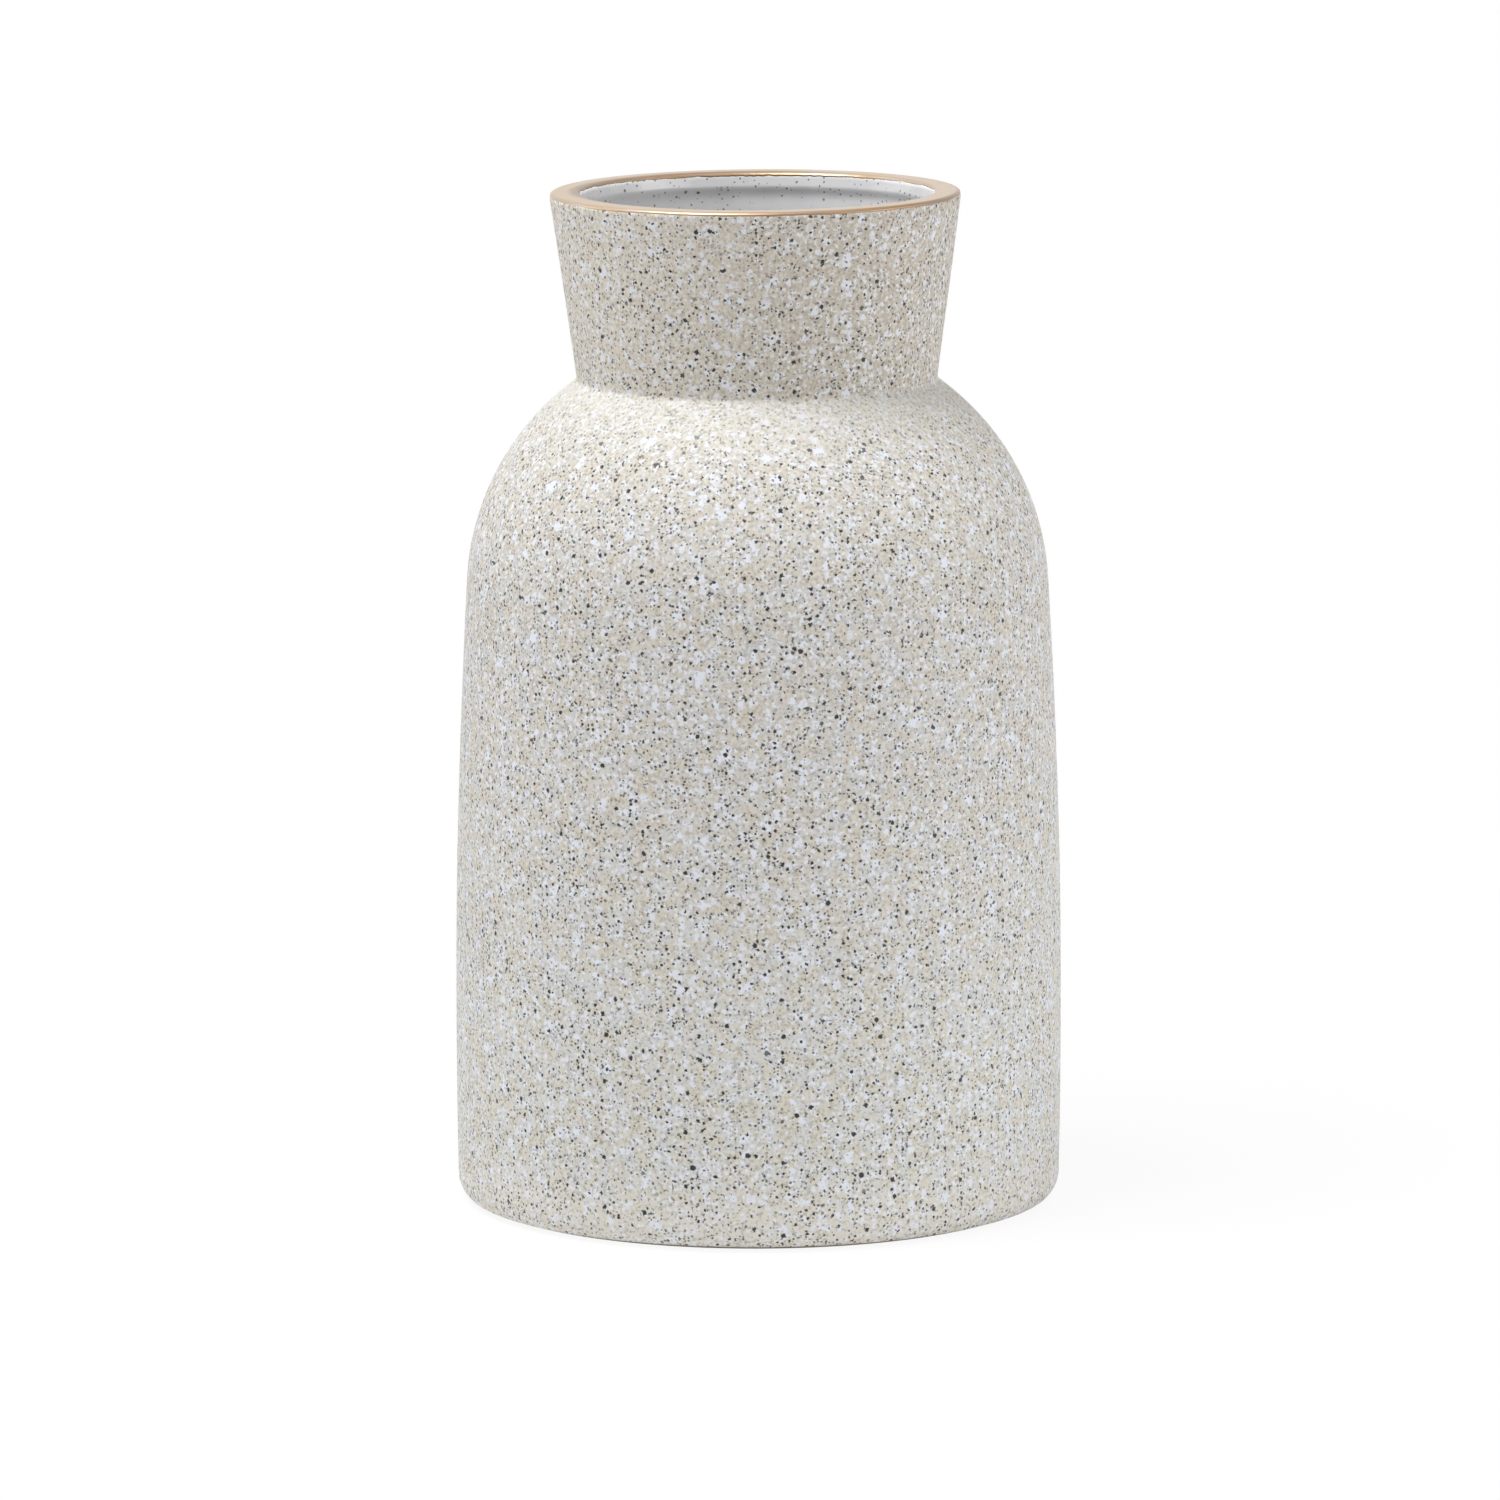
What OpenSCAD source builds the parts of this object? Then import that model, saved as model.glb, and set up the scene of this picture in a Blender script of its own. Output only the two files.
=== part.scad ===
// Stoneware pottery vase: a rounded bottle body with a flared collar neck, speckled
// matte glaze outside, glossy liner glaze inside and a gold lustre band on the rim.
// It is made as a potter builds it: four clay sections luted in stepped joints, then
// the coats on top. Every piece is turned about the Z axis and the vase stands on z = 0.

/* [Finished shape] */
// Height from the shelf to the top of the rim
height = 180; // [165:1:200]
// Widest diameter of the body, over the glaze
belly_d = 108; // [96:1:120]
// Height of the widest place
belly_z = 28; // [15:1:50]
// Radius of the long, slow curve of the body wall
wall_arc_r = 1390; // [900:10:2500]
// Radius of the shoulder curve
shoulder_arc_r = 46.5; // [40:0.5:52]
// Diameter in the crease where the neck leaves the shoulder
neck_d = 63.6; // [54:0.2:72]
// Height of that crease
neck_z = 146.4; // [138:0.2:152]
// Diameter of the rim, where the neck's slope meets its flat top
rim_d = 72.8; // [64:0.2:84]
// Smallest diameter of the mouth, at the thickened lip
mouth_d = 61.7; // [54:0.1:64]

/* [Clay] */
// Thickness of the clay wall
wall_t = 3.4; // [2.6:0.1:5]
// Thickness of the floor over the hollow foot
floor_t = 5.5; // [4:0.5:9]
// Depth of the hollow under the foot
foot_hollow = 1.5; // [1:0.25:3]
// Width of the flat ring that the vase stands on
foot_ring_w = 6.5; // [4:0.5:10]
// Radius of the clay edge round the foot
foot_edge_r = 3.6; // [2:0.2:5]
// Radius of the corner between floor and wall, inside
corner_r = 6; // [4:0.5:10]
// Radius of the clay lip inside the mouth
lip_r = 1.5; // [1.2:0.1:2]
// Radius of the clay at the rim's outer edge
rim_edge_r = 0.45; // [0.3:0.05:1]

/* [Joints] */
// Height of the ledge where the body wall stands on the base
base_joint_z = 18; // [14:1:30]
// Height of the ledge where the shoulder stands on the body wall
shoulder_joint_z = 106; // [90:1:108]
// Height of the tongue on the inner half of each joint
tongue_h = 3; // [2:0.5:5]
// Thickness of the slip that lutes a joint
slip_t = 0.3; // [0.2:0.05:0.5]

/* [Coats] */
// Thickness of the glaze coats, inside and out
glaze_t = 0.4; // [0.3:0.05:0.6]
// Bare clay left below the outer glaze
glaze_line_z = 0.6; // [0.5:0.1:2]
// Thickness of the gold lustre, thicker than real so that it holds as a solid
lustre_t = 0.15; // [0.1:0.05:0.3]
// How far the lustre comes down outside the rim
lustre_drop_out = 0.9; // [0.5:0.1:1.2]
// How far the lustre comes down inside the rim
lustre_drop_in = 0.6; // [0.4:0.1:1]

/* [Hidden] */
$fn = 240;
wall_steps = 12; // straight steps along the long curve of the wall
round_steps = 20; // straight steps along each tighter curve
past = 1; // how far a cutting shape runs past what it cuts

// Insets from the finished outer surface: clay outside, middle of the wall, clay inside
clay_out = glaze_t;
clay_mid = clay_out + wall_t / 2;
clay_in = clay_out + wall_t;

// The body wall's arc is centred far across the axis, level with the belly
wall_c = [belly_d / 2 - wall_arc_r, belly_z];

// The shoulder's arc passes through the crease and touches the wall's arc from inside,
// so its centre is where two circles cross: one about each of those
crease = [neck_d / 2, neck_z];
centre_r = wall_arc_r - shoulder_arc_r;
span = norm(crease - wall_c);
toward = (crease - wall_c) / span;
along = (centre_r ^ 2 - shoulder_arc_r ^ 2 + span ^ 2) / (2 * span);
across = sqrt(centre_r ^ 2 - along ^ 2);
shoulder_c = wall_c + along * toward + across * [toward.y, -toward.x];

// The neck is a cone from the crease to the rim, and a surface set in from it meets the
// shoulder's curve, set in as far, where both lie at the same distance from the neck
neck_slope = atan((rim_d - neck_d) / 2 / (height - neck_z));
neck_reach = (crease - shoulder_c) * [cos(neck_slope), -sin(neck_slope)];
function neck_r(z, inset) =
    neck_d / 2 + (z - neck_z) * tan(neck_slope) - inset / cos(neck_slope);
function crease_angle(inset) =
    acos((neck_reach - inset) / (shoulder_arc_r - inset)) - neck_slope;

// Centres of the round edges: the rim's outer edge, the lip, the foot and the floor's corner
clay_top = height - lustre_t - glaze_t;
edge_z = clay_top - rim_edge_r;
edge_c = [neck_r(edge_z, clay_out + rim_edge_r), edge_z];
lip_c = [mouth_d / 2 + glaze_t + lip_r, clay_top - lip_r];
floor_z = foot_hollow + floor_t;
function corner_c(inset, z, r) =
    [wall_c.x + sqrt((wall_arc_r - inset - r) ^ 2 - (z - belly_z) ^ 2), z];
foot_c = corner_c(clay_out, foot_edge_r, foot_edge_r);
floor_c = corner_c(clay_in, floor_z + corner_r, corner_r);

// Points on an arc about c
function arc(c, r, from, to, steps) = [
    for (i = [0:steps])
        let (a = from + (to - from) * i / steps) c + r * [cos(a), sin(a)]
];
function bearing(c) = atan2(c.y - wall_c.y, c.x - wall_c.x);

// All that lies between two heights, further out than the body reaches
module slice(low, high) {
    translate([0, low]) square([belly_d, high - low]);
}

// Half section of a solid vase whose surface is set in from the finished one. The round
// at its foot is centred on corner and touches the wall.
module turned(inset, corner) {
    wall_r = wall_arc_r - inset;
    shoulder_r = shoulder_arc_r - inset;
    round_r = wall_r - norm(corner - wall_c);
    high = height + past;
    polygon(concat(
        [[0, corner.y - round_r]],
        arc(corner, round_r, -90, bearing(corner), round_steps),
        arc(wall_c, wall_r, bearing(corner), bearing(shoulder_c), wall_steps),
        arc(shoulder_c, shoulder_r, bearing(shoulder_c), crease_angle(inset), round_steps),
        [[neck_r(high, inset), high], [0, high]]
    ));
}

// Half section of the rim up to a height: a flat between its round edge and the lip
module rim_section(top) {
    translate(edge_c) circle(r = top - edge_c.y);
    translate(lip_c) circle(r = top - lip_c.y);
    translate(lip_c) square([edge_c.x - lip_c.x, top - lip_c.y]);
}

// Half section of the pot with a coat of thickness t all over it, and bare when t is 0
module pot_section(t) {
    difference() {
        turned(clay_out - t, foot_c);
        turned(clay_in + t, floor_c);
        slice(edge_c.y, height + 2 * past);
        slice(-height, 0);
    }
    rim_section(clay_top + t);
}

// Half section of all of the pot that lies outside the middle of its wall and a gap beyond
module outer_half(t, gap) {
    difference() {
        pot_section(t);
        turned(clay_mid + gap, floor_c);
    }
}

// Half section of all of the pot that lies inside the middle of its wall by at least a gap
module inner_half(t, gap) {
    intersection() {
        pot_section(t);
        turned(clay_mid + gap, floor_c);
    }
}

// Half section of the clay from one joint to the next. At the foot its outer half comes
// down over the tongue of the piece below, and at the top its inner half stands up as the
// tongue for the piece above.
module clay_section(low, high) {
    intersection() {
        pot_section(0);
        slice(low + tongue_h, high);
    }
    intersection() {
        outer_half(0, 0);
        slice(low, high);
    }
    intersection() {
        inner_half(0, slip_t);
        slice(low + tongue_h, high + tongue_h);
    }
}

// Half section of the slip that fills the step between two clay sections: a ledge outside,
// a ring between tongue and rebate, and a ledge on top of the tongue
module slip_section(z) {
    intersection() {
        outer_half(0, slip_t);
        slice(z, z + slip_t);
    }
    intersection() {
        outer_half(0, slip_t);
        inner_half(0, 0);
        slice(z, z + tongue_h + slip_t);
    }
    intersection() {
        inner_half(0, 0);
        slice(z + tongue_h, z + tongue_h + slip_t);
    }
}

module base() {
    foot_ring_in_r = foot_c.x - foot_ring_w;
    color("#b9ab95") rotate_extrude() difference() {
        clay_section(-past, base_joint_z);
        translate([0, -past]) square([foot_ring_in_r, foot_hollow + past]);
    }
}

module body_wall() {
    color("#c2b49e") rotate_extrude() clay_section(base_joint_z + slip_t, shoulder_joint_z);
}

module shoulder() {
    color("#b9ab95") rotate_extrude() clay_section(shoulder_joint_z + slip_t, neck_z);
}

module neck() {
    color("#c2b49e") rotate_extrude() clay_section(neck_z + slip_t, height);
}

module base_seam() {
    color("#857766") rotate_extrude() slip_section(base_joint_z);
}

module shoulder_seam() {
    color("#857766") rotate_extrude() slip_section(shoulder_joint_z);
}

module neck_seam() {
    color("#857766") rotate_extrude() slip_section(neck_z);
}

// The two glaze coats meet on the rim, at the middle of the wall, under the lustre
module outer_glaze() {
    color("#d6cebc") rotate_extrude() difference() {
        outer_half(glaze_t, 0);
        pot_section(0);
        slice(-past, glaze_line_z);
    }
}

module liner_glaze() {
    color("#dcdcda") rotate_extrude() difference() {
        inner_half(glaze_t, 0);
        pot_section(0);
    }
}

module rim_lustre() {
    color("#c79a5b") rotate_extrude() difference() {
        rim_section(height);
        pot_section(glaze_t);
        slice(0, height - lustre_drop_out);
        square([lip_c.x, height - lustre_drop_in]);
    }
}

base();
body_wall();
shoulder();
neck();
base_seam();
shoulder_seam();
neck_seam();
outer_glaze();
liner_glaze();
rim_lustre();
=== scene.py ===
"""A stoneware vase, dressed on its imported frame.

The thrown pot is covered by a speckled matte glaze outside and a glossy liner glaze inside, a
gold lustre is brushed over its rim, and the turned foot is left as bare clay. Everything is in
metres, in the vase's own frame: it stands on z = 0 and is turned about the Z axis.
"""

import bpy
import numpy as np
from mathutils import Matrix, Vector
from mathutils.bvhtree import BVHTree


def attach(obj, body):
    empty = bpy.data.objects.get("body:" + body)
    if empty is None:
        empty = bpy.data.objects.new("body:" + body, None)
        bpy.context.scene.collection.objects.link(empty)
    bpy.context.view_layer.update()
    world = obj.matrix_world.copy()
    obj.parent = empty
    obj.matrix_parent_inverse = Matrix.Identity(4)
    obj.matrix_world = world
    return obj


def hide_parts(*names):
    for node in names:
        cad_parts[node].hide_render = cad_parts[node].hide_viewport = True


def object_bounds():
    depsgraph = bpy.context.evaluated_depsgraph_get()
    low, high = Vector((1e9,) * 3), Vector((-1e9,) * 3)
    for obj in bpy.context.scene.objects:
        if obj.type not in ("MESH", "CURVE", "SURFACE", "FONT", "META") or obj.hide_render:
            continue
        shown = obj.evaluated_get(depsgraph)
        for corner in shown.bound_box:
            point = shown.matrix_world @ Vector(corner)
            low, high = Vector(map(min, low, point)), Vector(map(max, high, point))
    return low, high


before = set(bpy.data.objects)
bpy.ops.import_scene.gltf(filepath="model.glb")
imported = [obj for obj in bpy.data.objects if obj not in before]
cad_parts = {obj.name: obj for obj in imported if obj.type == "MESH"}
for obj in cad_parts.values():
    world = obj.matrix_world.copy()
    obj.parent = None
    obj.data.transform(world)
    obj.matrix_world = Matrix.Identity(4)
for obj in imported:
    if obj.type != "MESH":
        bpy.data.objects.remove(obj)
cad_low, cad_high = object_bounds()

MM = 0.001

# Image points, in the photograph's 1500 x 1500 frame. None stands for a number that an edge lacks.
IMAGE_W, IMAGE_H = 1500, 1500
IMAGE_POINTS = {
    "left": (454.9, None),
    "right": (1061.0, None),
    "top": (None, 168.0),
    "bottom": (None, 1249.9),
    "rim_left": (549.4, 196.0),
    "rim_right": (961.0, 194.0),
    "crease_left": (576.7, 376.0),
    "crease_right": (938.6, 374.0),
    "mouth_left": (581.7, 196.0),
    "mouth_right": (935.8, 192.0),
    "lustre_front": (757.0, 215.5),
    "lustre_back": (757.0, 175.4),
    "speck_shoulder": (651.6, 571.1),
    "speck_high": (800.5, 651.3),
    "speck_middle": (828.0, 903.0),
    "speck_right": (876.6, 1019.8),
    "speck_left": (606.3, 1034.7),
    "speck_low": (747.9, 1155.9),
    "speck_low_left": (692.7, 1167.9),
    "speck_low_right": (861.3, 1175.2),
}

# The camera stands in front of the vase, on the -Y side, and looks a little down
CAMERA_AWAY = 1.82956
CAMERA_UP = 0.37671
CAMERA_DOWN_ANGLE = np.radians(9.2126)
CAMERA_TURN = np.radians(-0.0455)
CAMERA_ROLL = np.radians(-0.1875)
LENS = 250.34
SENSOR = 36.0
NEAREST, FARTHEST = 0.05, 20  # what lies nearer or further isn't drawn

# The finished vase, over the glaze. Its overall sizes come from the frame.
HEIGHT = cad_high.z
BELLY_R = cad_high.x
BELLY_Z = 28 * MM
WALL_ARC_R = 1390 * MM
SHOULDER_ARC_R = 46.5 * MM
CREASE_R, CREASE_Z = 31.8 * MM, 146.4 * MM
RIM_R = 36.4 * MM

# The coats and the clay under them
GLAZE = 0.4 * MM
LUSTRE = 0.15 * MM
WALL = 3.4 * MM
FLOOR = 5.5 * MM
GLAZE_LINE_Z = 0.6 * MM

# Rounds, as radii of the clay under the glaze, and the pooling of the glaze in the corners
FOOT_ROUND = 4.2 * MM
FLOOR_ROUND = 6 * MM
RIM_ROUND = 0.45 * MM
CREASE_POOL = 0.5 * MM
INNER_CREASE_ROUND = 1.6 * MM

# The thickened lip inside the mouth: two swells below a height, and the round of its top edge
LIP_Z = 177.6 * MM
LIP_SWELL, LIP_REACH = 0.67 * MM, 1.36 * MM
LIP_FULLNESS, LIP_FADE = 0.23 * MM, 6 * MM
LIP_EDGE = 1.1 * MM

# The foot, as it was trimmed on the wheel
FOOT_HOLLOW = 1.5 * MM
FOOT_RING_IN = 43.3 * MM
FOOT_EDGE = 0.5 * MM
TRIM_PITCH = 1.7 * MM
TRIM_DEPTH = 0.22 * MM
BASE_JOINT_Z = 18 * MM
TONGUE = 3 * MM
SLIP = 0.3 * MM

# Points round the vase and along the stretches of the profiles, closer where the shape turns
TURNS = 384
BELOW_CREASE_STEPS, CREASE_STEPS, ABOVE_CREASE_STEPS = 36, 33, 20
CREASE_REACH = 2.5 * MM  # how far the closer points reach below and above the crease
FOOT_STEPS, WALL_STEPS, INNER_WALL_STEPS = 30, 50, 24
ROUND_STEPS = 14  # round the rim's edge, the lip's edge and the floor's corner
LIP_STEPS = 50
LIP_ENDS_Z = 173 * MM
HOLLOW_STEPS = 160
UNSEEN = 5  # a side that nobody sees keeps one point in so many

# What the wheel and the kiln did to it
NECK_LEAN = 0.24 * MM
FOOT_TUCK = 0.3 * MM
FOOT_TUCK_ENDS_Z = 60 * MM
RIM_DIP = 0.3 * MM
MOUTH_OFFSET = 0.35 * MM
WANDER = 0.08 * MM
WANDER_LENGTH = 45 * MM

# Radii of the largest iron specks, by the name of their image point
IRON_R = {
    "speck_shoulder": 0.46 * MM,
    "speck_high": 0.50 * MM,
    "speck_middle": 0.52 * MM,
    "speck_right": 0.50 * MM,
    "speck_left": 0.50 * MM,
    "speck_low": 0.54 * MM,
    "speck_low_left": 0.60 * MM,
    "speck_low_right": 0.58 * MM,
}

# Heights, and on the neck the x, from where to where a tone comes in
NECK_TONE_Z = (145.8 * MM, 147.4 * MM)
# the x over which the neck goes from painted light on its left to painted shade on its right
NECK_LIGHT_TO_SHADE_X = (-25 * MM, 18 * MM)
# the shoulder under the neck: painted light against the neck's shade, over glaze that gathered
# there
POOL_AND_LIGHT_Z = (135 * MM, 146 * MM)
# higher up: a painted tint of warm light from above
HIGH_WARM_LIGHT_Z = (95 * MM, 165 * MM)
# lower down: lighter and cooler, painted light bounced up from the floor
LOW_BOUNCE_LIGHT_Z = (100 * MM, 20 * MM)
# the very foot: paler, painted light on its downward face
FOOT_LIGHT_Z = (16 * MM, 3 * MM)
# deeper inside the mouth: greyer, painted shade
LINER_SHADE_Z = (175 * MM, 167 * MM)

# Spots in the finishes: a shift that keeps their places apart from another kind's, their spacing,
# the radii of their edge and core, and the chances past which some show and all do
FLAKES = ((0, 0, 0), 0.95 * MM, 0.50 * MM, 0.26 * MM, 0.65, 1.25)
PATCHES = ((0.37, 0.11, 0.29), 2.1 * MM, 0.80 * MM, 0.50 * MM, 0.95, 1.25)
BROAD_PATCHES = ((0.19, 0.43, 0.07), 4.2 * MM, 1.15 * MM, 0.75 * MM, 1.0, 1.3)
DUST = ((0, 0, 0), 0.68 * MM, 0.29 * MM, 0.11 * MM, 0.35, 1.15)
SPECKS = ((0, 0, 0), 1.05 * MM, 0.36 * MM, 0.20 * MM, 0.72, 1.0)
BLOTS = ((0.31, 0.17, 0.23), 2.4 * MM, 0.48 * MM, 0.33 * MM, 0.6, 0.8)
LINER_DUST = ((0, 0, 0), 0.95 * MM, 0.25 * MM, 0.12 * MM, 0.2, 0.75)
LINER_SPECKS = ((0.23, 0.31, 0.17), 2.2 * MM, 0.40 * MM, 0.24 * MM, 0.6, 0.8)
CLAY_IRON = ((0, 0, 0), 1.8 * MM, 0.35 * MM, 0.2 * MM, 0.7, 0.8)
BRUSH_SHARE = 0.03  # share of x and y that the lustre's brush lines read

# Tones of the finishes, as a screen writes them, 0 to 255
TONES = {
    "cream": (209, 201, 189),
    "ash": (206, 205, 203),
    # lighter and cooler low on the body: painted light bounced up from the floor
    "bounce_lit_cream": (213, 208, 193),
    "bounce_lit_ash": (213, 215, 215),
    # paler at the very foot: painted light on its downward face
    "foot": (223, 218, 207),
    # warmer higher up: a painted tint of warm light from above
    "high": (207, 198, 180),
    # on the neck a warmer glaze, with painted light on the left and painted shade on the right
    "neck_painted_light": (217, 208, 194),
    "neck_painted_shade": (193, 183, 169),
    # paler on the shoulder under the neck: painted light against the neck's shade
    "pool_painted_light": (213, 211, 203),
    "pale_grain": (224, 220, 212),
    "grey_grain": (162, 157, 149),
    "white": (231, 234, 243),
    "dust": (80, 81, 80),
    "iron": (30, 33, 36),
    "liner": (239, 239, 240),
    "liner_shade": (232, 232, 234),
    # greyer deeper inside the mouth: painted shade
    "liner_painted_shade": (210, 209, 210),
    "liner_speck": (70, 70, 72),
    "gold": (198, 174, 144),
    "pale_gold": (198, 178, 158),
    "brush_line": (172, 136, 100),
    # a painted dark reflection on the lustre's edges that face front right
    "reflected_dark_gold": (116, 86, 60),
    "clay": (196, 182, 160),
    "dark_clay": (172, 156, 132),
    "clay_iron": (86, 70, 56),
    "slip": (170, 156, 136),
    "dark_slip": (150, 136, 116),
}

# The lustre, whose edges are finer
LUSTRE_TURNS = 1152  # points round it
LUSTRE_STEPS = 34  # points across it
LUSTRE_SHORT = 0.4 * MM  # how much less far in it reaches at the left and right
LUSTRE_EDGE = 0.5 * MM  # how far in from its edges it has its full thickness
LUSTRE_LEAST = 0.01 * MM  # its thickness at the very edge
OUTER_WANDER = ((9 * MM, 0.10 * MM, 3), (1.8 * MM, 0.06 * MM, 4))  # lengths, sizes and seeds
INNER_WANDER = ((6 * MM, 0.12 * MM, 5), (1.3 * MM, 0.09 * MM, 6))
DARKEST_TURN = np.radians(-42)  # the turn at which the outer edge shows the most painted dark reflection
DARK_OUTER, DARK_INNER = 0.30, 0.55  # shares of its width that show painted dark reflection at each edge
# the least and most strength of that painted dark reflection at an edge
DARK_LEAST, DARK_MOST = 0.12, 1.2

# The studio
FLOOR_HALF = 4.0
FLOOR_GAP = 0.05 * MM  # how far under the foot the floor lies, so that the two don't flicker
FLOOR_TONE = 0.92
SHADOW_SHOWN = 0.92  # share of plain white in the floor at the foot: the rest shows the shadow
SHADOW_FADES = (0.08, 0.35)  # from where to where the floor turns to plain white
WORLD_LIGHT = 0.14

# The lamps: bearing and rise in degrees, distance, width and height, and power
LAMPS = {
    "key": (-60, 68, 1.2, 0.6, 0.6, 13.2),
    "top": (0, 88, 1.2, 1.7, 1.7, 4.9),
    "right": (90, 8, 1.2, 1.1, 1.2, 4.3),
    "right_front": (65, 4, 1.2, 0.8, 0.6, 4.1),
    "left": (-112, 12, 1.2, 0.6, 1.2, 1.6),
}

# What the image points are read from
LIP_BAND = 8 * MM  # the mouth's ends lie less than this under the rim
MOUTH_SIDES = 25 * MM  # and further than this from the middle
RIM_BAND = 4 * MM  # the rim's ends lie less than this under its top
CREASE_BAND = 6 * MM  # the crease's ends lie less than this from its height
SKIN_DEPTH = 0.03 * MM  # a ray stops this far before the point that it looks for


# ---- Camera --------------------------------------------------------------------------------------

def make_camera():
    """A camera that looks along +Y and down, with no shift."""
    data = bpy.data.cameras.new("camera")
    data.lens, data.sensor_width, data.sensor_fit = LENS, SENSOR, "AUTO"
    data.clip_start, data.clip_end = NEAREST, FARTHEST
    down, turn, roll = CAMERA_DOWN_ANGLE, CAMERA_TURN, CAMERA_ROLL
    ahead = Vector((np.sin(turn) * np.cos(down), np.cos(turn) * np.cos(down), -np.sin(down)))
    right = Vector((np.cos(turn), -np.sin(turn), 0))
    up = right.cross(ahead)
    across = right * np.cos(roll) + up * np.sin(roll)
    above = up * np.cos(roll) - right * np.sin(roll)
    camera = bpy.data.objects.new("camera", data)
    turned = Matrix((across, above, -ahead)).transposed().to_4x4()
    camera.matrix_world = Matrix.Translation((0, -CAMERA_AWAY, CAMERA_UP)) @ turned
    bpy.context.scene.collection.objects.link(camera)
    bpy.context.scene.camera = camera
    return camera


camera = make_camera()


def shown_at(points):
    """Where points show in the photograph's frame, as rows of x and y."""
    data, side = camera.data, max(IMAGE_W, IMAGE_H)
    into = np.array(camera.matrix_world.inverted())
    local = points @ into[:3, :3].T + into[:3, 3]
    flat = local[:, :2] / -local[:, 2:] * side * data.lens / data.sensor_width
    x = flat[:, 0] + IMAGE_W / 2 - data.shift_x * side
    y = IMAGE_H / 2 + data.shift_y * side - flat[:, 1]
    return np.column_stack([x, y])


def place_on(point_name, piece):
    """Where the ray through an image point meets a piece. A miss takes the piece's point nearest
    the ray."""
    x, y = IMAGE_POINTS[point_name]
    data, side = camera.data, max(IMAGE_W, IMAGE_H)
    aim = Vector((
        x - IMAGE_W / 2 + data.shift_x * side,
        IMAGE_H / 2 - y + data.shift_y * side,
        -side * data.lens / data.sensor_width,
    ))
    eye = camera.matrix_world.translation
    way = (camera.matrix_world.to_3x3() @ aim).normalized()
    tree = BVHTree.FromObject(piece, bpy.context.evaluated_depsgraph_get())
    hit = tree.ray_cast(eye, way)[0]
    if hit is None:
        points = np.array([corner.co for corner in piece.data.vertices])
        offset = points - np.array(eye)
        along = offset @ np.array(way)
        hit = points[np.argmin(np.linalg.norm(offset - along[:, None] * np.array(way), axis=1))]
    return np.array(hit)


# ---- Profiles: arrays of (r, z) rows -------------------------------------------------------------

def arc(centre, radius, start, stop, count):
    """Points on a circle: its centre plus the radius times the cosine and sine of even angles."""
    angle = np.linspace(start, stop, count)
    return np.column_stack([centre[0] + radius * np.cos(angle), centre[1] + radius * np.sin(angle)])


def bearing(centre, point):
    """The angle at which a point is seen from a centre."""
    return np.arctan2(point[1] - centre[1], point[0] - centre[0])


def greater(a, b, round_over):
    """The larger of two values, rounded where they cross: half their sum plus half the root of
    their squared difference and the squared rounding."""
    return (a + b + np.sqrt((a - b) ** 2 + round_over ** 2)) / 2


def chord(radius, height):
    """Half the width of a circle at a height above its centre."""
    return np.sqrt(np.maximum(radius ** 2 - height ** 2, 0))


def set_in(profile, depth):
    """The profile moved by depth to the left of its own direction, point by point."""
    along = np.gradient(profile, axis=0)
    along /= np.linalg.norm(along, axis=1)[:, None]
    return profile + depth * np.column_stack([-along[:, 1], along[:, 0]])


WALL_C = np.array([BELLY_R - WALL_ARC_R, BELLY_Z])


def shoulder_centre():
    """The shoulder's arc passes through the crease and touches the wall's arc from inside, so its
    centre is where two circles cross: one about each of those."""
    crease = np.array([CREASE_R, CREASE_Z])
    reach = WALL_ARC_R - SHOULDER_ARC_R
    span = np.linalg.norm(crease - WALL_C)
    toward = (crease - WALL_C) / span
    along = (reach ** 2 - SHOULDER_ARC_R ** 2 + span ** 2) / (2 * span)
    return WALL_C + along * toward + chord(reach, along) * np.array([toward[1], -toward[0]])


SHOULDER_C = shoulder_centre()
NECK_SLOPE = np.arctan((RIM_R - CREASE_R) / (HEIGHT - CREASE_Z))


def neck_r(z, depth):
    """Radius of the neck's cone at a height, set in from the finished surface by a depth."""
    return CREASE_R + (z - CREASE_Z) * np.tan(NECK_SLOPE) - depth / np.cos(NECK_SLOPE)


def inner_neck_r(z, depth):
    """Radius of the neck inside: its cone less the lip's two swells, each its size times e to minus
    the square of the height below the lip over its reach."""
    below = np.maximum(LIP_Z - z, 0)
    swell = LIP_SWELL * np.exp(-(below / LIP_REACH) ** 2)
    fullness = LIP_FULLNESS * np.exp(-(below / LIP_FADE) ** 2)
    return neck_r(z, depth) - (swell + fullness)


def shoulder_r(z, depth):
    """Radius of the shoulder's dome at a height, set in by a depth."""
    return SHOULDER_C[0] + chord(SHOULDER_ARC_R - depth, z - SHOULDER_C[1])


def corner_centre(depth, z, radius):
    """Centre, at height z, of a round that touches the wall's arc set in by a depth."""
    return np.array([WALL_C[0] + chord(WALL_ARC_R - depth - radius, z - BELLY_Z), z])


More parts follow.
